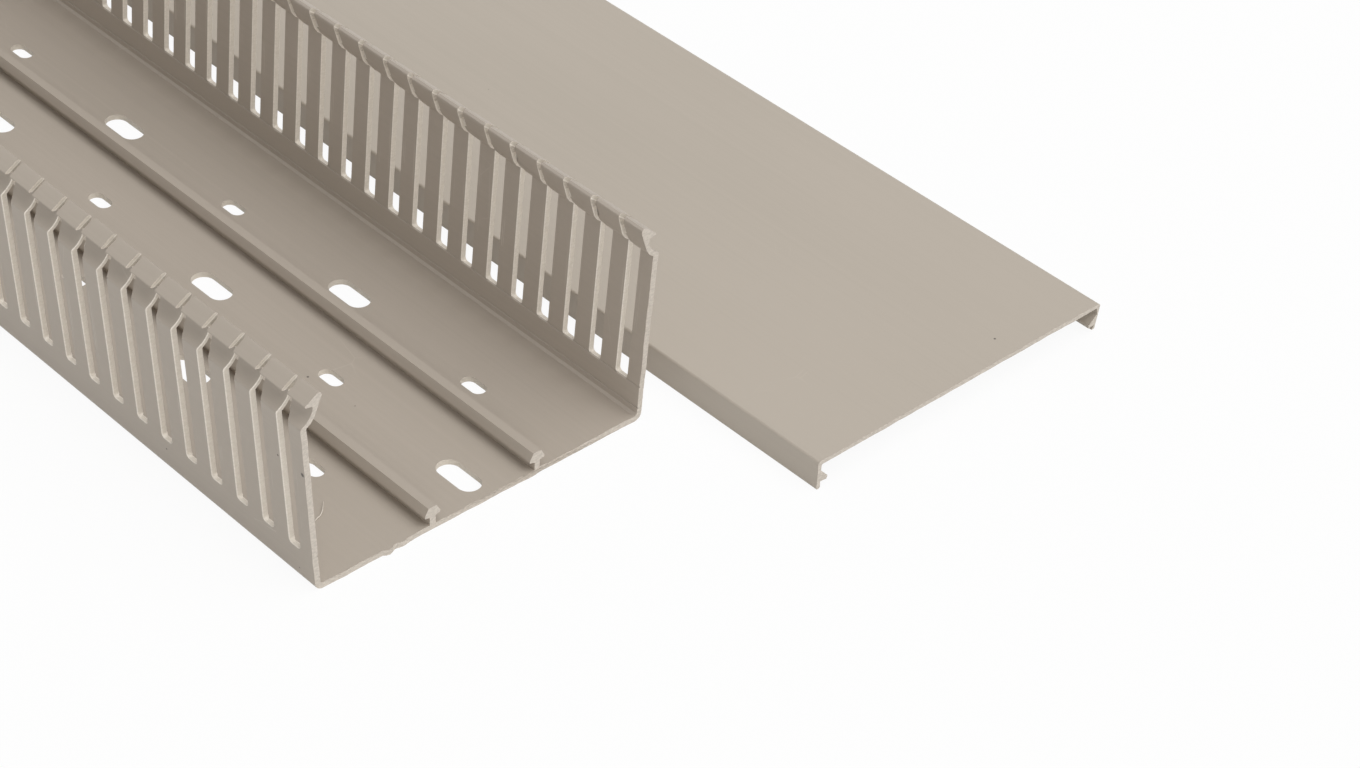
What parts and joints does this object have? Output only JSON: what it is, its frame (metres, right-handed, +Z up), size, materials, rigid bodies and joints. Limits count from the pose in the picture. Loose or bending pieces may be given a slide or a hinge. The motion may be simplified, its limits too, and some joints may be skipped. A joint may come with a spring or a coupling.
{
  "type": "slotted wire duct",
  "caption": "Open slotted wire duct in stone-grey PVC: finger-slotted side walls with snap heads, arrow rails on a perforated base, and its clip-on cover lying beside it.",
  "frame": {"origin": "the middle of the channel's underside, halfway along its length and width, on the floor or panel that it lies on", "axes": "+Y runs along the length, away from the rough-sawn near end; +X runs across the base towards the cover lying beside the channel; +Z points up, out of the channel's open side"},
  "size_m": [0.2188, 1.048, 0.057],
  "materials": {
    "channel": "satin stone-grey PVC",
    "cover": "satin stone-grey PVC"
  },
  "bodies": {
    "root": {"channel": "channel", "cover": "cover"}
  },
  "joints": []
}
